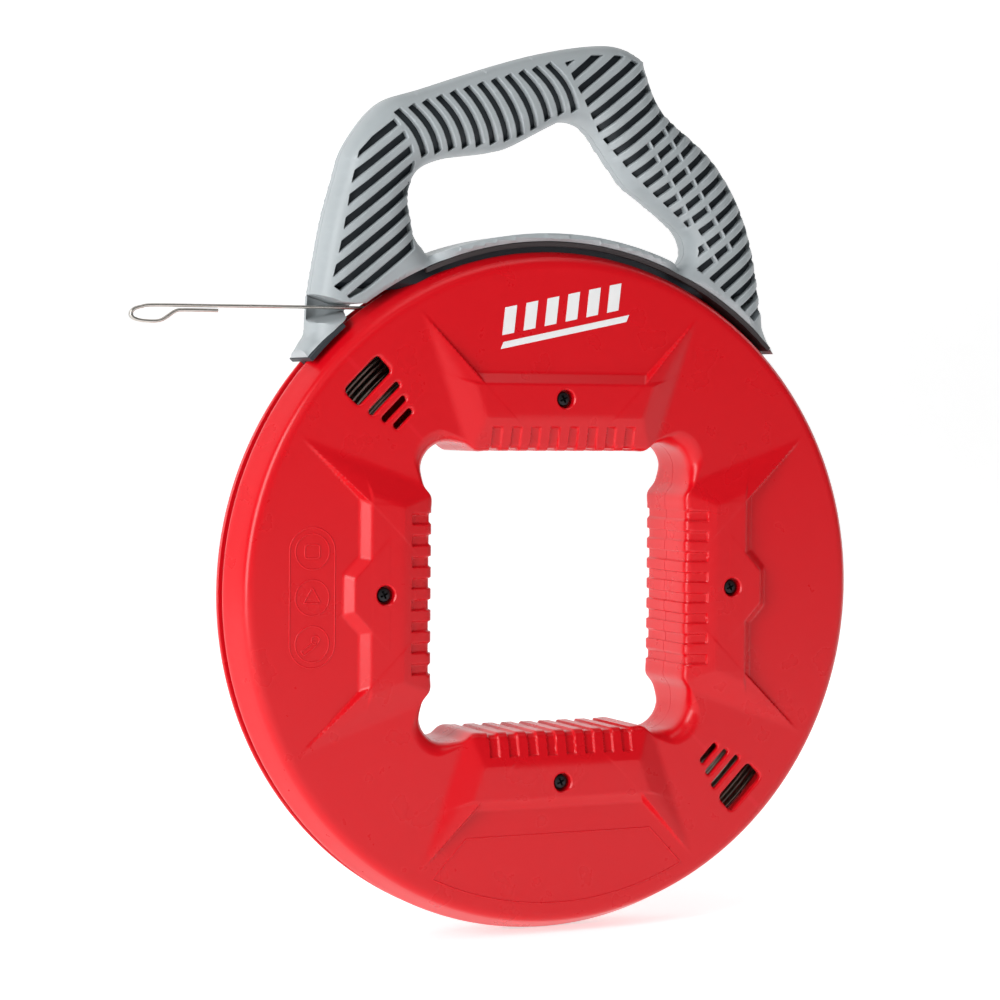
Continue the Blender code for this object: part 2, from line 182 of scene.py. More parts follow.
def loft(name, rows, finish=None, smooth_angle=40):
    """A closed solid through outlines of equal length, given as (points, y) with y one or many."""
    count = len(rows[0][0])
    points = []
    for outline, y in rows:
        outline = np.asarray(outline, float)
        points.append(np.column_stack([outline[:, 0], np.broadcast_to(y, count), outline[:, 1]]))
    faces = grid_faces(len(rows), count)
    faces.append(list(range(count)))
    faces.append([(len(rows) - 1) * count + i for i in range(count)])
    return new_piece(name, np.concatenate(points), faces, finish, smooth_angle)


def prism(outline, y_from, y_to):
    return loft("cutter", [(outline, y_from), (outline, y_to)])


def slab(centre, along, length, width):
    """The outline of a straight slot, anticlockwise."""
    c, s = math.cos(math.radians(along)), math.sin(math.radians(along))
    corners = [(a * length / 2, b * width / 2) for a, b in ((-1, -1), (1, -1), (1, 1), (-1, 1))]
    return [(centre[0] + u * c - v * s, centre[1] + u * s + v * c) for u, v in corners]


def rounded(outline, radius, count=4):
    """A convex anticlockwise outline with its corners rounded."""
    made = []
    total = len(outline)
    for i, corner in enumerate(np.asarray(outline, float)):
        before = np.asarray(outline[i - 1], float) - corner
        after = np.asarray(outline[(i + 1) % total], float) - corner
        start = corner + before / np.linalg.norm(before) * radius
        end = corner + after / np.linalg.norm(after) * radius
        for k in range(count + 1):
            t = k / count
            made.append(tuple((1 - t) ** 2 * start + 2 * t * (1 - t) * corner + t**2 * end))
    return made


# ---------------------------------------------------------------- materials

def shader_of(name):
    material = bpy.data.materials.new(name)
    material.use_nodes = True
    nodes = material.node_tree.nodes
    return material, nodes, material.node_tree.links, nodes["Principled BSDF"]


def noise(nodes, links, scale, detail=4.0, stretch=None):
    coords = nodes.new("ShaderNodeTexCoord")
    texture = nodes.new("ShaderNodeTexNoise")
    texture.inputs["Scale"].default_value = scale
    texture.inputs["Detail"].default_value = detail
    if stretch:
        mapping = nodes.new("ShaderNodeMapping")
        mapping.inputs["Scale"].default_value = stretch
        links.new(coords.outputs["Object"], mapping.inputs["Vector"])
        links.new(mapping.outputs["Vector"], texture.inputs["Vector"])
    else:
        links.new(coords.outputs["Object"], texture.inputs["Vector"])
    return texture.outputs["Fac"]


def ramp(nodes, links, value, low, high):
    """A colour between low and high as value goes through its middle range."""
    made = nodes.new("ShaderNodeValToRGB")
    made.color_ramp.elements[0].position = 0.2
    made.color_ramp.elements[1].position = 0.8
    made.color_ramp.elements[0].color = (*low, 1)
    made.color_ramp.elements[1].color = (*high, 1)
    links.new(value, made.inputs["Fac"])
    return made.outputs["Color"]


def bump(nodes, links, height, strength, distance):
    made = nodes.new("ShaderNodeBump")
    made.inputs["Strength"].default_value = strength
    made.inputs["Distance"].default_value = distance
    links.new(height, made.inputs["Height"])
    return made.outputs["Normal"]


def plastic(name, colour, lighter, rough, grain_depth=0.00006, shine=0.5):
    """Moulded plastic: a fine spark-eroded grain, a slow drift of colour and gloss, and paler convex edges
    that are a painted edge highlight.
    """
    material, nodes, links, shader = shader_of(name)
    drift = noise(nodes, links, 14.0, 3.0)
    body = ramp(nodes, links, drift, colour, tuple(0.97 * c for c in colour))
    # Convex edges are painted paler: a painted edge highlight.
    edge = nodes.new("ShaderNodeNewGeometry").outputs["Pointiness"]
    painted_edge_highlight = nodes.new("ShaderNodeMapRange")
    painted_edge_highlight.inputs["From Min"].default_value = 0.52
    painted_edge_highlight.inputs["From Max"].default_value = 0.60
    painted_edge_highlight.inputs["To Max"].default_value = 0.35
    links.new(edge, painted_edge_highlight.inputs["Value"])
    mix = nodes.new("ShaderNodeMix")
    mix.data_type = "RGBA"
    links.new(painted_edge_highlight.outputs["Result"], mix.inputs["Factor"])
    links.new(body, mix.inputs["A"])
    mix.inputs["B"].default_value = (*lighter, 1)
    links.new(mix.outputs["Result"], shader.inputs["Base Color"])
    gloss = ramp(nodes, links, noise(nodes, links, 60.0, 5.0), (rough - 0.015,) * 3, (rough + 0.015,) * 3)
    links.new(gloss, shader.inputs["Roughness"])
    fine = bump(nodes, links, noise(nodes, links, 900.0, 2.0), 0.35, grain_depth)
    links.new(fine, shader.inputs["Normal"])
    shader.inputs["Specular IOR Level"].default_value = shine
    return material


def metal(name, colour, rough, stretch, metallic=1.0):
    """Rolled or plated metal with fine streaks."""
    material, nodes, links, shader = shader_of(name)
    streaks = noise(nodes, links, 260.0, 6.0, stretch)
    body = ramp(nodes, links, streaks, tuple(0.8 * c for c in colour), colour)
    links.new(body, shader.inputs["Base Color"])
    gloss = ramp(nodes, links, streaks, (rough + 0.1,) * 3, (rough - 0.05,) * 3)
    links.new(gloss, shader.inputs["Roughness"])
    links.new(bump(nodes, links, streaks, 0.2, 0.00004), shader.inputs["Normal"])
    shader.inputs["Metallic"].default_value = metallic
    return material


# Each plastic's second colour is the painted edge highlight on its convex edges.
RED = plastic("case_red", (0.66, 0.002, 0.008), (0.74, 0.012, 0.024), 0.28, shine=0.38)
GREY = plastic("handle_grey", (0.35, 0.385, 0.40), (0.52, 0.56, 0.58), 0.44)
# Near-black painted shade: it colours the core seen at the bottom of the slots and the nose shoe under the
# horn.
PAINTED_SHADE = plastic("dark_nylon", (0.012, 0.018, 0.024), (0.05, 0.06, 0.07), 0.55)
BAND = plastic("shoe_nylon", (0.030, 0.022, 0.024), (0.09, 0.08, 0.08), 0.45)
WHITE = plastic("mark_white", (0.82, 0.82, 0.82), (0.9, 0.9, 0.9), 0.4, grain_depth=0.00002)
STEEL = metal("tape_steel", (0.60, 0.57, 0.53), 0.22, (1.0, 0.2, 1.0))
# The coil is the tape's own steel made darker, as painted shade inside the case.
SHADED_COIL = metal("coil_steel_painted_shade", (0.42, 0.38, 0.33), 0.3, (1.0, 0.2, 1.0))
BLACK = metal("screw_black", (0.030, 0.030, 0.033), 0.32, (1.0, 1.0, 1.0), 0.7)


# ---------------------------------------------------------------- case

def smooth_min(a, b, k):
    """The lower of two heights, blended where they are less than k apart."""
    h = np.clip(0.5 + 0.5 * (b - a) / k, 0, 1)
    return b * (1 - h) + a * h - k * h * (1 - h)


def smooth_max(a, b, k):
    return -smooth_min(-a, -b, k)


def facet(p, q, r):
    """Height over (d, w) of the plane through three (d, w, height) points."""
    a, b, c = (np.array(v, float) for v in (p, q, r))
    n = np.cross(b - a, c - a)
    return lambda d, w: a[2] - (n[0] * (d - a[0]) + n[1] * (w - a[1])) / n[2]


def step(value, low, high):
    """A smooth rise from 0 at low to 1 at high."""
    t = np.clip((value - low) / (high - low), 0, 1)
    return t * t * (3 - 2 * t)


RIB_PITCH = 9.6
RIB_HALF = 39.5  # half the length of the ribbed run along a block


def rib_groove(w):
    """1 in the grooves between the nine ribs of a block, 0 on the ribs."""
    phase = np.abs((w / RIB_PITCH + 0.5) % 1 - 0.5) * 2
    return step(phase, 0.47, 0.60) * (1 - step(np.abs(w), RIB_HALF - 1.0, RIB_HALF - 0.4))


def block_height(d, w, notched):
    """Height of a grip block over the disc: d from the centre, w along the side of the opening."""
    a = np.abs(w)
    top = BLOCK_Y
    back = facet((99.5, 0, FACE_Y), (94.5, 0, top), (94.5, 9, top))(d, a)
    front = facet((CREST_D, 0, top), (OPEN_D, 0, top - 3.4), (CREST_D, 9, top))(d, a)
    side = facet((CREST_D, 39.5, top), (125, 68.5, FACE_Y), (67, 48, FACE_Y))(d, a)
    upper = facet((94.5, 40.5, top), (CREST_D, 39.5, top), (125, 68.5, FACE_Y))(d, a)
    rear = facet((94.5, 40.5, top), (125, 68.5, FACE_Y), (99.5, 43, FACE_Y))(d, a)
    middle = smooth_min(smooth_min(np.full_like(d, top), back, 0.5), smooth_min(front, side, 0.5), 0.5)
    wing = smooth_min(smooth_min(upper, side, 0.4), smooth_min(rear, front, 0.4), 0.4)
    block = smooth_max(middle, np.minimum(wing, top), 0.2)
    if notched:
        end = facet((102.5, 0, top), (107, 0, FACE_Y), (107, 9, FACE_Y))(d, a)
        flank = facet((102.5, 7.5, top), (94.5, 16, top), (107, 9, FACE_Y))(d, a)
        nose = smooth_min(smooth_min(end, flank, 0.5), top + (d - 86) * 2, 0.5)
        block = smooth_max(block, np.minimum(nose, top), 0.2)
    return block - 1.1 * rib_groove(w) * (1 - step(d, 74.6, 75.2))


def window_shapes():
    """(radius, half width, half length, corner) of the large window and the three slots beside it."""
    return ((134.7, 5.25, 11.5, 2.8), (123.6, 1.6, 9.8, 1.5), (117.0, 1.6, 7.6, 1.5), (110.9, 1.6, 5.8, 1.5))


def window_distance(x, z):
    """How far outside the nearest window each point is."""
    u = np.abs(x - z) / math.sqrt(2)
    v = (x + z) / math.sqrt(2)
    nearest = np.full_like(x, 99.0)
    for radius, half, long, corner in window_shapes():
        du = np.maximum(np.abs(u - radius) - half + corner, 0)
        dv = np.maximum(np.abs(v) - long + corner, 0)
        nearest = np.minimum(nearest, np.hypot(du, dv) - corner)
    return nearest


def face_height(x, z):
    """Height of the case's face: the disc with its four blocks, rounded at the windows' edges."""
    height = np.full_like(x, FACE_Y)
    for quarter in range(4):
        c, s = math.cos(quarter * math.pi / 2), math.sin(quarter * math.pi / 2)
        height = smooth_max(height, block_height(x * c + z * s, z * c - x * s, quarter % 2 == 0), 0.6)
    away = np.clip(window_distance(x, z), 0, 1.0)
    height -= 1.0 - np.sqrt(1 - (1 - away) ** 2)
    return height


def opening_radius(angles):
    """Distance from the axis to the edge of the hand opening at each angle, in radians."""
    corner = smooth([(OPEN_D, 38), (OPEN_D, 43), (67.2, 48), (68, 54)], 6)
    corner += arc((55, 55), 13, 6, 84, 14) + smooth([(54, 68), (48, 67.2), (43, OPEN_D), (38, OPEN_D)], 6)
    outline = np.array(corner)
    theta = np.arctan2(outline[:, 1], outline[:, 0])
    local = (angles + math.pi / 4) % (math.pi / 2) - math.pi / 4
    in_corner = np.where(local < 0, local + math.pi / 2, local)
    straight = OPEN_D / np.cos(local)
    cornered = np.interp(in_corner, theta, np.hypot(*outline.T))
    return np.where(np.abs(OPEN_D * np.tan(local)) < 38, straight, cornered)


ANGLES = 1200  # columns of the case's grid
FACE_ROWS = 176  # its rows over the face


def half_case(name):
    """One case half as a closed grid, whose rows run from the opening over the face and back inside."""
    angles = np.arange(ANGLES) / ANGLES * 2 * math.pi
    local = (angles + math.pi / 4) % (math.pi / 2) - math.pi / 4
    inner = opening_radius(angles)
    w = inner * np.sin(local)
    wall_r = inner + 1.0 * rib_groove(w)
    edge = 3.2 + 4.3 * step(np.abs(local), 0.60, 0.70)
    c, s = np.cos(angles), np.sin(angles)
    rows = []

    def add(radius, height):
        rows.append(np.column_stack([radius * c, -np.broadcast_to(height, ANGLES), radius * s]))

    def on_face(radius, drop):
        add(radius, face_height(radius * c, radius * s) - drop)

    foot = face_height(wall_r * c, wall_r * s) - edge
    for t in (0, 0.25, 0.5, 0.75):
        add(wall_r, SEAM + (foot - SEAM) * t)
    for i in range(9):
        phi = math.pi / 2 * i / 8
        on_face(wall_r + edge * (1 - math.cos(phi)), edge * (1 - math.sin(phi)))
    start = wall_r + edge
    for i in range(1, FACE_ROWS + 1):
        on_face(start + (FACE_END_R - start) * i / FACE_ROWS, 0)
    shoulder = [(149.2, 19.95), (150.4, 19.6), (151.5, 18.9), (152.4, 17.9), (153.0, 16.6)]
    rim = [(154.2, 13.4), (155.4, 10.2), (156.6, 7.0), (RIM_R - 0.15, 5.2), (RIM_R, 4.4)]
    lip = [(RIM_R - 0.1, 3.7), (RIM_R - 0.5, 3.3), (RIM_R - 1.1, SLOT_Y), (LIP_R, SLOT_Y), (LIP_R, 5.8)]
    floor = FACE_Y - WALL
    inside = [(153.4, 5.8), (150, 16)] + [(radius, floor) for radius in (148.3, 130, 112, CHAMBER_R)]
    inside.append((CHAMBER_R, SEAM))
    for radius, height in shoulder + rim + lip + inside:
        add(np.full(ANGLES, radius), height)
    obj = new_piece(name, np.concatenate(rows), grid_faces(len(rows), ANGLES, closed_rows=True), RED, 35)
    cutters = []
    for radius, half, long, corner in window_shapes():
        outline = rounded(slab((radius, 0), 90, 2 * long, 2 * half), corner, 6)
        for turn in (135, -45):
            cutters.append(prism(turned_about(outline, turn), -26, -12))
    return cut(obj, cutters, smooth_angle=35)


def screw_recess(centre):
    """A round recess with a chamfered mouth, for a case screw."""
    profile = ((4.3, 18.6), (4.3, 23.4), (5.1, 24.2), (5.1, 26))
    return loft("cutter", [(arc(centre, radius, 0, 352.5, 47), -y) for radius, y in profile])


def make_case():
    front = half_case("case_front_shell")
    rear = mirrored(front, "case_rear_shell")
    cut(front, [screw_recess(polar(SCREW_D, 90 * i)) for i in range(4)], smooth_angle=35)
    for half, node in ((front, "case_front"), (rear, "case_rear")):
        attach(half, "case")
        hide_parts(node)


def bead(name, loops, radius, height_y, finish):
    """Fine raised lines on the case's face: each loop is a closed run of (x, z) points."""
    points, faces = [], []
    sides = 6
    for loop in loops:
        path = np.asarray(loop, float)
        run = np.roll(path, -1, 0) - np.roll(path, 1, 0)
        run /= np.linalg.norm(run, axis=1, keepdims=True)
        normal = np.stack([-run[:, 1], run[:, 0]], -1)
        first = len(points)
        for p, n in zip(path, normal):
            for k in range(sides):
                a = 2 * math.pi * k / sides
                across = p + n * radius * math.cos(a)
                points.append((across[0], -height_y - radius * 0.8 * math.sin(a), across[1]))
        faces += [[first + i for i in quad] for quad in grid_faces(len(path), sides, closed_rows=True)]
    obj = new_piece(name, points, faces, finish, 80)
    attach(obj, "case")


def dense(loop, spacing=1.2):
    """A closed outline with points added along its straight sides."""
    made = []
    for i, start in enumerate(loop):
        end = loop[(i + 1) % len(loop)]
        count = max(1, round(math.dist(start, end) / spacing))
        made += [tuple(np.add(start, np.subtract(end, start) * k / count)) for k in range(count)]
    return made


def make_moulded_marks():
    """A pill with three rings and plain glyphs on the left, and a panel's outline at the bottom."""
    x = -121.3
    ring_r, pill_r = 7.9, 10.6
    centres = [(x, 19.8), (x, -0.6), (x, -21.0)]
    pill = arc(centres[0], pill_r, 0, 180, 24) + arc(centres[2], pill_r, 180, 360, 24)
    loops = [dense(pill)] + [arc(centre, ring_r, 0, 354, 59) for centre in centres]
    square = rounded(slab(centres[0], 0, 7, 6), 1.4)
    triangle = [tuple(np.add(centres[1], polar(4.6, a))) for a in (90, 210, 330)]
    disc = arc((x + 1.6, -19.2), 1.9, 0, 345, 23)
    bar = slab((x - 1.4, -22.8), 35, 7.5, 2.2)
    loops += [dense(loop, 0.6) for loop in (square, triangle, disc, bar)]
    low = arc((0, 0), 143.6, -116, -63.8, 40)
    panel = [(47, -111.6), (-46.6, -111.6)]
    loops.append(dense(low + panel))
    bead("moulded_marks", loops, 0.34, FACE_Y - 0.02, RED)


def make_plain_mark():
    """Plain slanted bars over a stripe, where a mark would be printed."""
    points, faces = [], []
    tilt, pitch, mark_z = 12.0, 10.8, 126.5
    bar = turned_about([(-5, -6), (1, -6), (5, 6), (-1, 6)], tilt)
    shapes = []
    for i in range(6):
        centre = turned_about([(-27 + pitch * i, 2.5)], tilt)[0]
        shapes.append([(centre[0] + a, centre[1] + b) for a, b in bar])
    stripe = [(-34, -9.5), (31, -9.5), (33, -6.6), (-32, -6.6)]
    shapes.append(turned_about(stripe, tilt))
    for shape in shapes:
        first = len(points)
        for y in (FACE_Y - 0.1, FACE_Y + 0.12):
            points += [(px, -y, pz + mark_z) for px, pz in shape]
        faces += [[first + i for i in quad] for quad in grid_faces(2, 4)]
        faces += [[first + i for i in range(4)], [first + 4 + i for i in range(4)]]
    obj = new_piece("plain_mark", points, faces, WHITE, 0)
    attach(obj, "case")


# ---------------------------------------------------------------- screws

def screw_centre(node):
    """Where a screw's CAD node is, seen from the front."""
    low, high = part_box(node)
    return ((low.x + high.x) / 2 - REEL.x) / MM, ((low.z + high.z) / 2 - REEL.z) / MM


def make_screw(name, node, body, side):
    """A pan-head cross-recess screw where its CAD node is; side is -1 when the head faces -Y."""
    low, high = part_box(node)
    centre = screw_centre(node)
    head_r = (high.x - low.x) / 2 / MM
    top = (-low.y if side < 0 else high.y) / MM
    length = (high.y - low.y) / MM
    profile = [(head_r * 0.45, 0), (head_r * 0.8, 0.25), (head_r * 0.97, 0.9), (head_r, 1.5), (head_r, 2.1)]
    profile += [(head_r * 0.95, 2.3), (1.6, 2.3)]
    turns = 14
    for i in range(turns):
        depth = 3 + (length - 6) * i / turns
        profile += [(1.5, depth), (1.62, depth + 0.3), (1.3, depth + 0.7)]
    profile += [(1.2, length - 1.5), (0.4, length)]
    rows = [(arc(centre, r, 0, 350, 35), side * (top - depth)) for r, depth in profile]
    screw = loft(name, rows, BLACK, 35)
    crosses = []
    for angle in (25, 115):
        wide = slab(centre, angle, 3.8, 0.95)
        narrow = slab(centre, angle, 1.4, 0.6)
        levels = ((wide, top + 1), (wide, top - 0.2), (narrow, top - 1.9))
        crosses.append(loft("cutter", [(outline, side * y) for outline, y in levels]))
    cut(screw, crosses, smooth_angle=30)
    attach(screw, body)
    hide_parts(node)


def make_screws():
    for label in ("top", "right", "bottom", "left"):
        make_screw(f"case_bolt_{label}", f"case_screw_{label}", "case", -1)
    for i in range(1, 6):
        make_screw(f"handle_bolt_{i}", f"handle_screw_{i}", "handle", 1)


# ---------------------------------------------------------------- tape

def strip(name, path, thick, wide, finish):
    """A flat band along (x, y, z) points that bends in the plane of the reel, with softened edges."""
    path = np.asarray(path, float)
    run = np.gradient(path, axis=0)
    run[:, 1] = 0
    run /= np.linalg.norm(run, axis=1, keepdims=True)
    normal = np.column_stack([-run[:, 2], np.zeros(len(path)), run[:, 0]])
    soft = 0.3 * thick
    t, w = thick / 2, wide / 2
    section = [(t, w - soft), (t - soft * 0.4, w - soft * 0.4), (t - soft, w)]
    section += [(-a, b) for a, b in section[::-1]]
    section += [(-a, -b) for a, b in section]
    points = []
    for a, b in section:
        points.append(path + normal * a + np.array([0, b, 0]))
    points = np.stack(points, 1).reshape(-1, 3)
    count = len(section)
    faces = grid_faces(len(path), count)
    faces.append(list(range(count)))
    faces.append([(len(path) - 1) * count + i for i in range(count)])
    return new_piece(name, points, faces, finish, 50)


def make_lead():
    """The tape's end: a nearly straight run to the left, and the eye bent back at its tip."""
    run = [(0, TAPE_Z), (-30, TAPE_Z - 0.1), (-60, TAPE_Z - 0.2), (-95, TAPE_Z - 0.3), (-130, TAPE_Z - 0.5)]
    run += [(-160, TAPE_Z - 0.8), (-188, TAPE_Z - 1.1)]
    eye = [(-193.5, 126.4), (-197.0, 125.2), (-198.3, 123.2), (-197.0, 121.2), (-192, 120.2), (-185, 120.6)]
    back = [(-178.5, 124.6), (-175, 125.2), (-167, 125.3), (-159, 125.3)]
    path = [(x, 0, z) for x, z in smooth(run + eye + back, 9)]
    lead = strip("tape_end_with_eye", path, TAPE_T, TAPE_W, STEEL)
    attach(lead, "tape")
    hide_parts("tape_lead")


def make_coil():
    """The wound tape: full inner layers, then loose outer turns on both sides of the lead's groove."""
    seats = []
    for layer in range(6):
        seats += [(118.9 + 1.45 * layer, y) for y in (-5.4, -1.8, 1.8, 5.4)][:: 1 if layer % 2 else -1]
    seats += [(127.8 + 1.45 * layer, 6.4) for layer in range(11)]
    seats += [(142.2 - 2.35 * layer + 0.4 * math.sin(5 * layer), -6.3) for layer in range(7)]
    steps = 120
    path = []
    for n, (radius, y) in enumerate(seats):
        after = seats[min(n + 1, len(seats) - 1)]
        for k in range(steps):
            t = k / steps
            move = float(step(np.array(t), 0.86, 1.0))
            theta = 2 * math.pi * t + 2.4
            wave = 0.22 * math.sin(3 * theta + n) * math.sin(math.pi * t)
            r = radius + (after[0] - radius) * move + wave
            path.append((r * math.cos(theta), y + (after[1] - y) * move, r * math.sin(theta)))
    # The turns get the darker steel, painted shade inside the case.
    coil = strip("tape_turns", path, TAPE_T * 0.93, TAPE_W * 0.96, SHADED_COIL)
    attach(coil, "case")
    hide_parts("tape_coil")


# ---------------------------------------------------------------- handle

CROWN_W = 15.0  # how far from an edge the handle's crowned face reaches its full height
EDGE_Y = 4.0  # half the flat that is left where the two halves meet
SLOT_ANGLE = 39.0  # how the slots on both legs rise, in degrees
SLOT_W = 3.4
LEG_LOW = 129.8  # the left leg's lower edge, over the tape


def outer_edges():
    """The handle's outline, anticlockwise: its base on the rim, then the rest, which is crowned."""
    base = arc((0, 0), BASE_R, 138.9, 43.5, 110)
    right = [(117.5, 112.5), (114, 118), (112, 124), (111.3, 130), (106.2, 158), (98.2, 180.5), (83, 202.4)]
    top = [(57, 223.3), (48.5, 240), (45, 247.5), (27, 252.1), (-12, 244.8), (-62, 228), (-84, 219.5)]
    left = [(-99.5, 200.5), (-105, 184.5), (-109.7, 168), (-113, 151.5), (-115.7, 135.5), (-116.6, 124.5)]
    return base, smooth(right + top + left + [(-117.1, 116), (-119.5, 112.2), (-121.6, 108.6)], 9)


def gap_edges():
    """The finger gap's floor and its crowned wall, anticlockwise."""
    floor = arc((0, 0), BASE_R + 3.6, 112, 66.5, 60)
    right = [(70, 152.5), (72.5, 157), (72, 162), (69.5, 166.5), (63, 172), (47.5, 183), (41, 187.5)]
    top = [(31, 199.5), (21.5, 211.5), (14, 215.8), (6, 216), (-1, 213), (-19.8, 203.3), (-29.8, 200.1)]
    left = [(-49.6, 197), (-60, 194), (-66.5, 190), (-70.2, 183), (-71, 175.5), (-69.6, 168.3), (-68, 161)]
    return floor, smooth([floor[-1]] + right + top + left + [floor[0]], 8)[1:-1]


def distance_to(points, line):
    """Each point's distance to the nearest segment of an open line."""
    p = np.asarray(points, float)[:, None, :]
    a = np.asarray(line[:-1], float)[None]
    run = np.asarray(line[1:], float)[None] - a
    t = np.clip(((p - a) * run).sum(-1) / (run * run).sum(-1), 0, 1)
    return np.linalg.norm(p - a - run * t[..., None], axis=-1).min(1)


def crown(points):
    """Half the handle's thickness at each point: oval at its crowned edges, nearly square at the rim."""
    base, upper = outer_edges()
    floor, wall = gap_edges()
    height = np.full(len(points), HANDLE_Y)
    for lines, width, low in (((upper, wall), CROWN_W, EDGE_Y), ((base, floor), 1.0, HANDLE_Y - 1.2)):
        for line in lines:
            t = 1 - np.clip(distance_to(points, line) / width, 0, 1)
            height = np.minimum(height, low + (HANDLE_Y - low) * np.sqrt(1 - t ** 2.2))
    return height


def inside(points, loop):
    """Which points are inside a closed loop, by counting the sides that a level ray crosses."""
    p = np.asarray(points, float)
    a = np.asarray(loop, float)
    b = np.roll(a, -1, 0)
    x, z = p[:, 0:1], p[:, 1:2]
    crosses = (a[None, :, 1] > z) != (b[None, :, 1] > z)
    rise = np.where(b[:, 1] == a[:, 1], 1e-9, b[:, 1] - a[:, 1])
    at = a[None, :, 0] + (z - a[None, :, 1]) * ((b[:, 0] - a[:, 0]) / rise)[None]
    return ((crosses & (x < at)).sum(1) % 2) == 1


def crowned_solid(name, keep, drop, front, back, pitch, finish=None):
    """A closed solid over the region inside the keep loop and outside the drop loops.

    front and back give how far towards -Y each surface is, and back may be one number. Both
    surfaces share one flat net of triangles, about as large as pitch.
    """
    points, edges = [], []
    for loop in [keep] + drop:
        first = len(points)
        points += [tuple(p) for p in loop]
        edges += [(first + i, first + (i + 1) % len(loop)) for i in range(len(loop))]
    low, high = np.min(keep, 0), np.max(keep, 0)
    x, z = np.meshgrid(np.arange(low[0], high[0], pitch), np.arange(low[1], high[1], pitch * 0.866))
    x = x + (np.arange(len(x)) % 2)[:, None] * pitch / 2
    grid = np.column_stack([x.ravel(), z.ravel()])
    grid = grid[inside(grid, keep)]
    for loop in [keep] + drop:
        grid = grid[distance_to(grid, list(loop) + [loop[0]]) > 0.55 * pitch]
    points += [tuple(p) for p in grid]
    flat, _, triangles, *_ = delaunay_2d_cdt([Vector(p) for p in points], edges, [], 0, 1e-5)
    flat = np.array([tuple(p) for p in flat])
    triangles = np.array([t for t in triangles if len(t) == 3])
    centres = flat[triangles].mean(1)
    kept = inside(centres, keep)
    for loop in drop:
        kept &= ~inside(centres, loop)
    triangles = triangles[kept]
    used, triangles = np.unique(triangles, return_inverse=True)
    flat = flat[used]
    triangles = triangles.reshape(-1, 3)
    total = len(flat)
    rear = back(flat) if callable(back) else np.full(total, back)
    made = [np.column_stack([flat[:, 0], -height, flat[:, 1]]) for height in (front(flat), rear)]
    faces = triangles.tolist() + (triangles[:, ::-1] + total).tolist()
    sides = {(a, b) for t in triangles.tolist() for a, b in zip(t, t[1:] + t[:1])}
    faces += [[b, a, a + total, b + total] for a, b in sides if (b, a) not in sides]
    return new_piece(name, np.concatenate(made), faces, finish, 32)


def clip(outline, point, normal):
    """The part of an outline on the side of a line that its normal points to."""
    made = []
    side = [(p[0] - point[0]) * normal[0] + (p[1] - point[1]) * normal[1] for p in outline]
    for i, p in enumerate(outline):
        q, here, there = outline[i - 1], side[i], side[i - 1]
        if (here >= 0) != (there >= 0):
            t = there / (there - here)
            made.append((q[0] + (p[0] - q[0]) * t, q[1] + (p[1] - q[1]) * t))
        if here >= 0:
            made.append(tuple(p))
    return made


def leg_slots(region, first, count, pitch, webs=(), web_rows=()):
    """Parallel slanted slots across a leg's region; webs are (point, degrees) lines that bridge some rows."""
    normal = np.array(polar(1, SLOT_ANGLE - 90))
    slots = []
    for i in range(count):
        middle = normal * (first + pitch * i)
        slot = clip(clip(region, middle - normal * SLOT_W / 2, normal), middle + normal * SLOT_W / 2, -normal)
        pieces = [slot]
        for point, degrees in webs if i in web_rows else ():
            across = np.array(polar(1, degrees + 90))
            split = []
            for piece in pieces:
                for sign in (-1, 1):
                    split.append(clip(piece, np.array(point) + across * 0.6 * sign, across * sign))
            pieces = split
        slots += [piece for piece in pieces if len(piece) > 2 and abs(outline_turn(piece)) > 6]
    return slots


def left_leg_region():
    """The part of the left leg's face that its slots cover, anticlockwise."""
    low = [(-110, 137.5), (-102, 131.6), (-95.5, 135), (-70, 151.8)]
    inner = [(-71.3, 161), (-73.3, 175.5), (-72.3, 184), (-70.3, 192.6)]
    top = [(-72.6, 199.6), (-75.9, 206), (-80.8, 212.3), (-83, 213)]
    return low + inner + top + [(-97, 197), (-100.8, 182), (-105.3, 158)]


def right_leg_region():
    """The part of the right leg's face that its slots cover, anticlockwise."""
    outer = [(113.2, 121.5), (108.8, 141), (105, 158), (96.8, 180), (82, 201), (56, 221.8), (47.2, 236.5)]
    top = [(42.5, 244), (33, 247.2), (17, 246.4), (3.5, 242)]
    inner = [(8.5, 232), (16.5, 220.5), (26, 208), (40, 192.6), (51, 184), (66, 172.5), (73.5, 166)]
    return outer + top + inner + [(75.5, 158), (73.5, 149.5), (86, 140.2), (104, 125.5)]


def grip_slots():
    """The slots along the grip, each leaning towards the nose and bowed."""
    tops = smooth([(-79.5, 216), (-46, 228), (-5, 241)], 9)
    feet = smooth([(-65.5, 196.5), (-50, 200.5), (-31, 203.8), (-16, 208.5), (-2, 217), (9.5, 220.5)], 9)
    slots = []
    for i in range(12):
        top_x, foot_x = -79.3 + 6.75 * i, -65.5 + 6.8 * i
        top = np.array([top_x, np.interp(top_x, *np.transpose(tops))])
        foot = np.array([foot_x, np.interp(foot_x, *np.transpose(feet))])
        slots.append(bowed_slot(foot, top, 1.6, SLOT_W + 0.4))
    return slots


def bowed_slot(a, b, bow, width):
    """A slot from a to b that bows to the right of the line between them, anticlockwise."""
    run = (b - a) / np.linalg.norm(b - a)
    side = np.array([run[1], -run[0]])
    middle = smooth([tuple(a), tuple((a + b) / 2 + side * bow), tuple(b)], 4)
    left = [tuple(np.array(p) - side * width / 2) for p in middle]
    right = [tuple(np.array(p) + side * width / 2) for p in middle]
    return right + left[::-1]


def dense_slot(outline):
    """A slot's outline with small round corners and points close enough to follow the crowned face."""
    return dense(rounded(outline, 0.35, 2), 2.0)


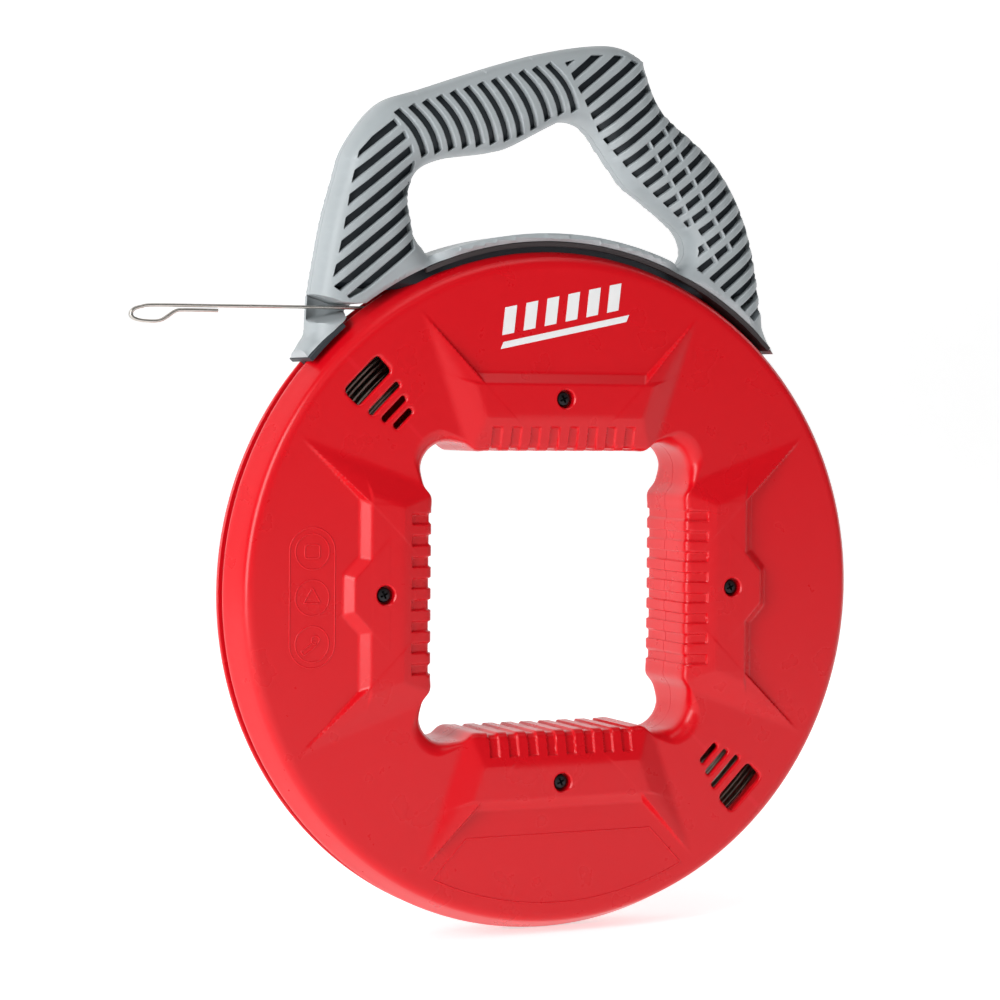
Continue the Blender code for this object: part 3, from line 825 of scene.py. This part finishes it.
def slot_cutter(outline):
    """A slot that follows the crowned face, with softened edges."""
    soft = np.asarray(dense_slot(outline))
    if outline_turn(soft) < 0:
        soft = soft[::-1]
    face = crown(soft)
    level = np.ones(len(soft))
    rows = [(inset(soft, -0.62), -(HANDLE_Y + 2) * level), (inset(soft, -0.62), -(face + 0.1))]
    rows += [(inset(soft, -0.5), -(face - 0.02)), (inset(soft, -0.14), -(face - 0.28)), (soft, -(face - 0.7))]
    rows += [(soft, -max(face.min() - 4.5, 1.0) * level)]
    return loft("cutter", rows)


def outline_turn(outline):
    """Twice the outline's area, positive when it is anticlockwise."""
    p = np.asarray(outline, float)
    q = np.roll(p, -1, 0)
    return (p[:, 0] * q[:, 1] - p[:, 1] * q[:, 0]).sum()


def all_slots():
    """The slots of both legs and the grip, as outlines."""
    webs = (((52.5, 199), -56), ((62.5, 203), -57))
    slots = leg_slots(left_leg_region(), -214.0, 8, 6.8) + grip_slots()
    return slots + leg_slots(right_leg_region(), -185.7, 23, 6.9, webs, range(8, 18))


def leg_edge():
    """The left leg's lower edge over the nose piece, an S-curve from the rim outwards."""
    return smooth([(-88, LEG_LOW), (-103, LEG_LOW), (-109, 131.4), (-117, 133.8)], 8)


def inner_space(edge, low, right):
    """The room inside the handle: edge in from its outline, above low and not further out than right."""
    base, upper = outer_edges()
    space = clip(clip(inset(base + upper, edge), (0, low), (0, 1)), (right, 0), (-1, 0))
    return [p for p in space if math.hypot(*p) > BASE_R + edge]


def half_handle(name):
    """The handle's front half: crowned outside, hollow behind its face, and slotted."""
    base, upper = outer_edges()
    floor, wall = gap_edges()
    outline, gap = base + upper, floor + wall
    half = crowned_solid(name, outline, [gap], crown, SEAM, 1.7, GREY)
    space = inner_space(3.0, 133.2, 106.5)
    hollow = crowned_solid("cutter", space, [inset(gap, -3.0)], lambda p: crown(p) - 3.4, -1.0, 4.0)
    nose = [(-88, 95)] + leg_edge() + [(-140, 141), (-140, 95)]
    cutters = [hollow, prism(nose, -20, 1)] + [slot_cutter(slot) for slot in all_slots()]
    return cut(half, cutters, smooth_angle=32)


def make_handle():
    """Both halves; the rear one has a round seat under each of its screws."""
    front = half_handle("handle_front_shell")
    rear = mirrored(front, "handle_rear_shell")
    seats = [arc(screw_centre(f"handle_screw_{i}"), 4.3, 0, 345, 23) for i in range(1, 6)]
    cut(rear, [prism(seat, 7, HANDLE_Y - 1.4) for seat in seats], 32, "UNION")
    for half, node in ((front, "handle_front"), (rear, "handle_rear")):
        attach(half, "handle")
        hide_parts(node)


def make_core():
    """The moulding behind the slots, near-black as painted shade at the slots' bottoms: a crowned front face,
    and the same mirrored at the rear.
    """
    floor, wall = gap_edges()
    space = inner_space(3.3, 136.4, 106.2)
    gap = inset(floor + wall, -3.3)
    # The core is near-black, painted shade for the bottoms of the slots.
    core = crowned_solid("handle_core_moulding", space, [gap], lambda p: crown(p) - 3.8, 0.0, 3.0, PAINTED_SHADE)
    mesh = core.data
    other = mirrored(core, "other_half")
    shape = bmesh.new()
    shape.from_mesh(mesh)
    shape.from_mesh(other.data)
    flat = [f for f in shape.faces if all(abs(v.co.y) < 1e-7 for v in f.verts)]
    bmesh.ops.delete(shape, geom=flat, context="FACES")
    bmesh.ops.remove_doubles(shape, verts=shape.verts, dist=1e-6)
    shape.to_mesh(mesh)
    shape.free()
    bpy.data.objects.remove(other)
    mesh.shade_smooth()
    mesh.set_sharp_from_angle(angle=math.radians(40))
    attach(core, "handle")
    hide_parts("handle_core")


HORN = [(-125, 119), (-117, 120.2), (-109, 122), (-100, 124.2), (-93, 125)]  # the crease above the horn


def make_guide():
    """The flared nose piece: a horn below the tape that curls into the funnel's rear wall."""
    base = arc((0, 0), BASE_R, 138.9, 126.0, 28)
    top = [(x, z - 0.3) for x, z in leg_edge() if -116.2 < x < -95]
    side = [p for p in outer_edges()[1] if p[0] < -90 and p[1] < top[-1][1]]

    def back(points):
        return -np.minimum(crown(points), HANDLE_Y - 0.3)

    def front(points):
        horn = np.minimum(crown(points), HANDLE_Y - 1.0)
        line_z = np.interp(points[:, 0], [p[0] for p in HORN], [p[1] for p in HORN])
        above = np.where(points[:, 1] > line_z, distance_to(points, HORN), 0)
        funnel = np.minimum(horn, 8.0) * (1 - step(above, 0, 2.6))
        funnel -= 6.0 * np.sqrt(1 - (1 - np.clip(above / 6.5, 0, 1)) ** 2)
        flank = np.minimum(horn, 8.0 + 4.0 * distance_to(points, HORN) ** 0.5)
        return smooth_max(np.where(above > 0, funnel, flank), 1.2 + back(points), 1.5)

    outline = base + top + side
    guide = crowned_solid("tape_guide_moulding", dense(outline, 1.0), [], front, back, 0.8, GREY)
    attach(guide, "handle")
    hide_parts("tape_guide")


def finish_cad_nodes():
    """The nodes that stay as CAD made them, with their materials."""
    # The nose shoe is near-black, painted shadow under the horn.
    finishes = {"slide_shoe": BAND, "nose_shoe": PAINTED_SHADE, "tape_anchor_clip": STEEL, "tape_anchor_screw": BLACK}
    for node, material in finishes.items():
        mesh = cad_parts[node].data
        mesh.materials.clear()
        mesh.materials.append(material)


# ---------------------------------------------------------------- stage

def make_stage():
    """A pale floor that curves up into a pale backdrop."""
    material, nodes, links, shader = shader_of("floor_white")
    tone = ramp(nodes, links, noise(nodes, links, 3.0), (0.86, 0.86, 0.86), (0.88, 0.88, 0.88))
    links.new(tone, shader.inputs["Base Color"])
    shader.inputs["Roughness"].default_value = 0.8
    shader.inputs["Emission Color"].default_value = (1, 1, 1, 1)
    shader.inputs["Emission Strength"].default_value = 0.6
    floor_z = -RIM_R - 0.6
    bend_y, bend_r = 1500, 900
    profile = [(-4000, floor_z), (bend_y, floor_z)]
    for a in np.linspace(0.1, math.pi / 2, 16):
        profile.append((bend_y + bend_r * math.sin(a), floor_z + bend_r * (1 - math.cos(a))))
    profile.append((bend_y + bend_r, floor_z + 5000))
    points = [(x, y, z) for y, z in profile for x in (-6000, 6000)]
    sweep = new_piece("backdrop", points, grid_faces(len(profile), 2, closed_columns=False), material, 60)


def area_light(name, location, target, size, watts):
    """A rectangular light aimed at the target; places and sizes are in metres."""
    data = bpy.data.lights.new(name, "AREA")
    data.shape = "RECTANGLE"
    data.size, data.size_y = size
    data.energy = watts
    light = bpy.data.objects.new(name, data)
    light.location = location
    light.rotation_euler = (Vector(target) - Vector(location)).to_track_quat("-Z", "Y").to_euler()
    bpy.context.scene.collection.objects.link(light)


def make_lights():
    """Soft boxes, mostly from the left, in a dim white room that the camera sees as bright white."""
    world = bpy.data.worlds.new("studio")
    world.use_nodes = True
    dim = world.node_tree.nodes["Background"]
    dim.inputs["Color"].default_value = (1, 1, 1, 1)
    dim.inputs["Strength"].default_value = 0.12
    seen = world.node_tree.nodes.new("ShaderNodeBackground")
    seen.inputs["Color"].default_value = (1, 1, 1, 1)
    path = world.node_tree.nodes.new("ShaderNodeLightPath")
    mix = world.node_tree.nodes.new("ShaderNodeMixShader")
    links = world.node_tree.links
    links.new(path.outputs["Is Camera Ray"], mix.inputs["Fac"])
    links.new(dim.outputs["Background"], mix.inputs[1])
    links.new(seen.outputs["Background"], mix.inputs[2])
    links.new(mix.outputs["Shader"], world.node_tree.nodes["World Output"].inputs["Surface"])
    bpy.context.scene.world = world
    target = tuple(REEL)
    area_light("left_softbox", (-1.6, -0.75, 0.35), target, (0.7, 1.5), 27)
    area_light("front_softbox", (-0.5, -2.0, 0.9), target, (1.6, 1.0), 2.5)
    area_light("top_softbox", (0.1, -0.4, 1.5), target, (1.4, 1.0), 5)
    area_light("right_strip", (1.5, 0.2, 0.1), target, (0.4, 1.6), 4)
    bpy.context.scene.view_settings.view_transform = "Standard"


def make_camera():
    """The viewing angle: from the left and a little above the reel's centre."""
    azimuth, elevation, roll = math.radians(-24.35), math.radians(1.97), math.radians(0.45)
    distance, shift_x, shift_z = 1249.7, -19.7, 40.9
    lens_per_width = 2.6858
    level = Vector((math.cos(azimuth), math.sin(azimuth), 0))
    level_part = math.cos(elevation)
    back = Vector((math.sin(azimuth) * level_part, -math.cos(azimuth) * level_part, math.sin(elevation)))
    rise = back.cross(level)
    right = level * math.cos(roll) + rise * math.sin(roll)
    up = rise * math.cos(roll) - level * math.sin(roll)
    spot = place(back * distance + right * shift_x + up * shift_z)
    data = bpy.data.cameras.new("camera")
    data.sensor_width = 36
    data.lens = 36 * lens_per_width
    data.clip_end = 100
    camera = bpy.data.objects.new("camera", data)
    axes = Matrix((right, up, back)).transposed().to_4x4()
    camera.matrix_world = Matrix.Translation(Vector(spot)) @ axes
    bpy.context.scene.collection.objects.link(camera)
    bpy.context.scene.camera = camera


make_camera()
make_stage()
make_lights()
make_case()
make_moulded_marks()
make_plain_mark()
make_screws()
make_lead()
make_coil()
make_handle()
make_core()
make_guide()
finish_cad_nodes()
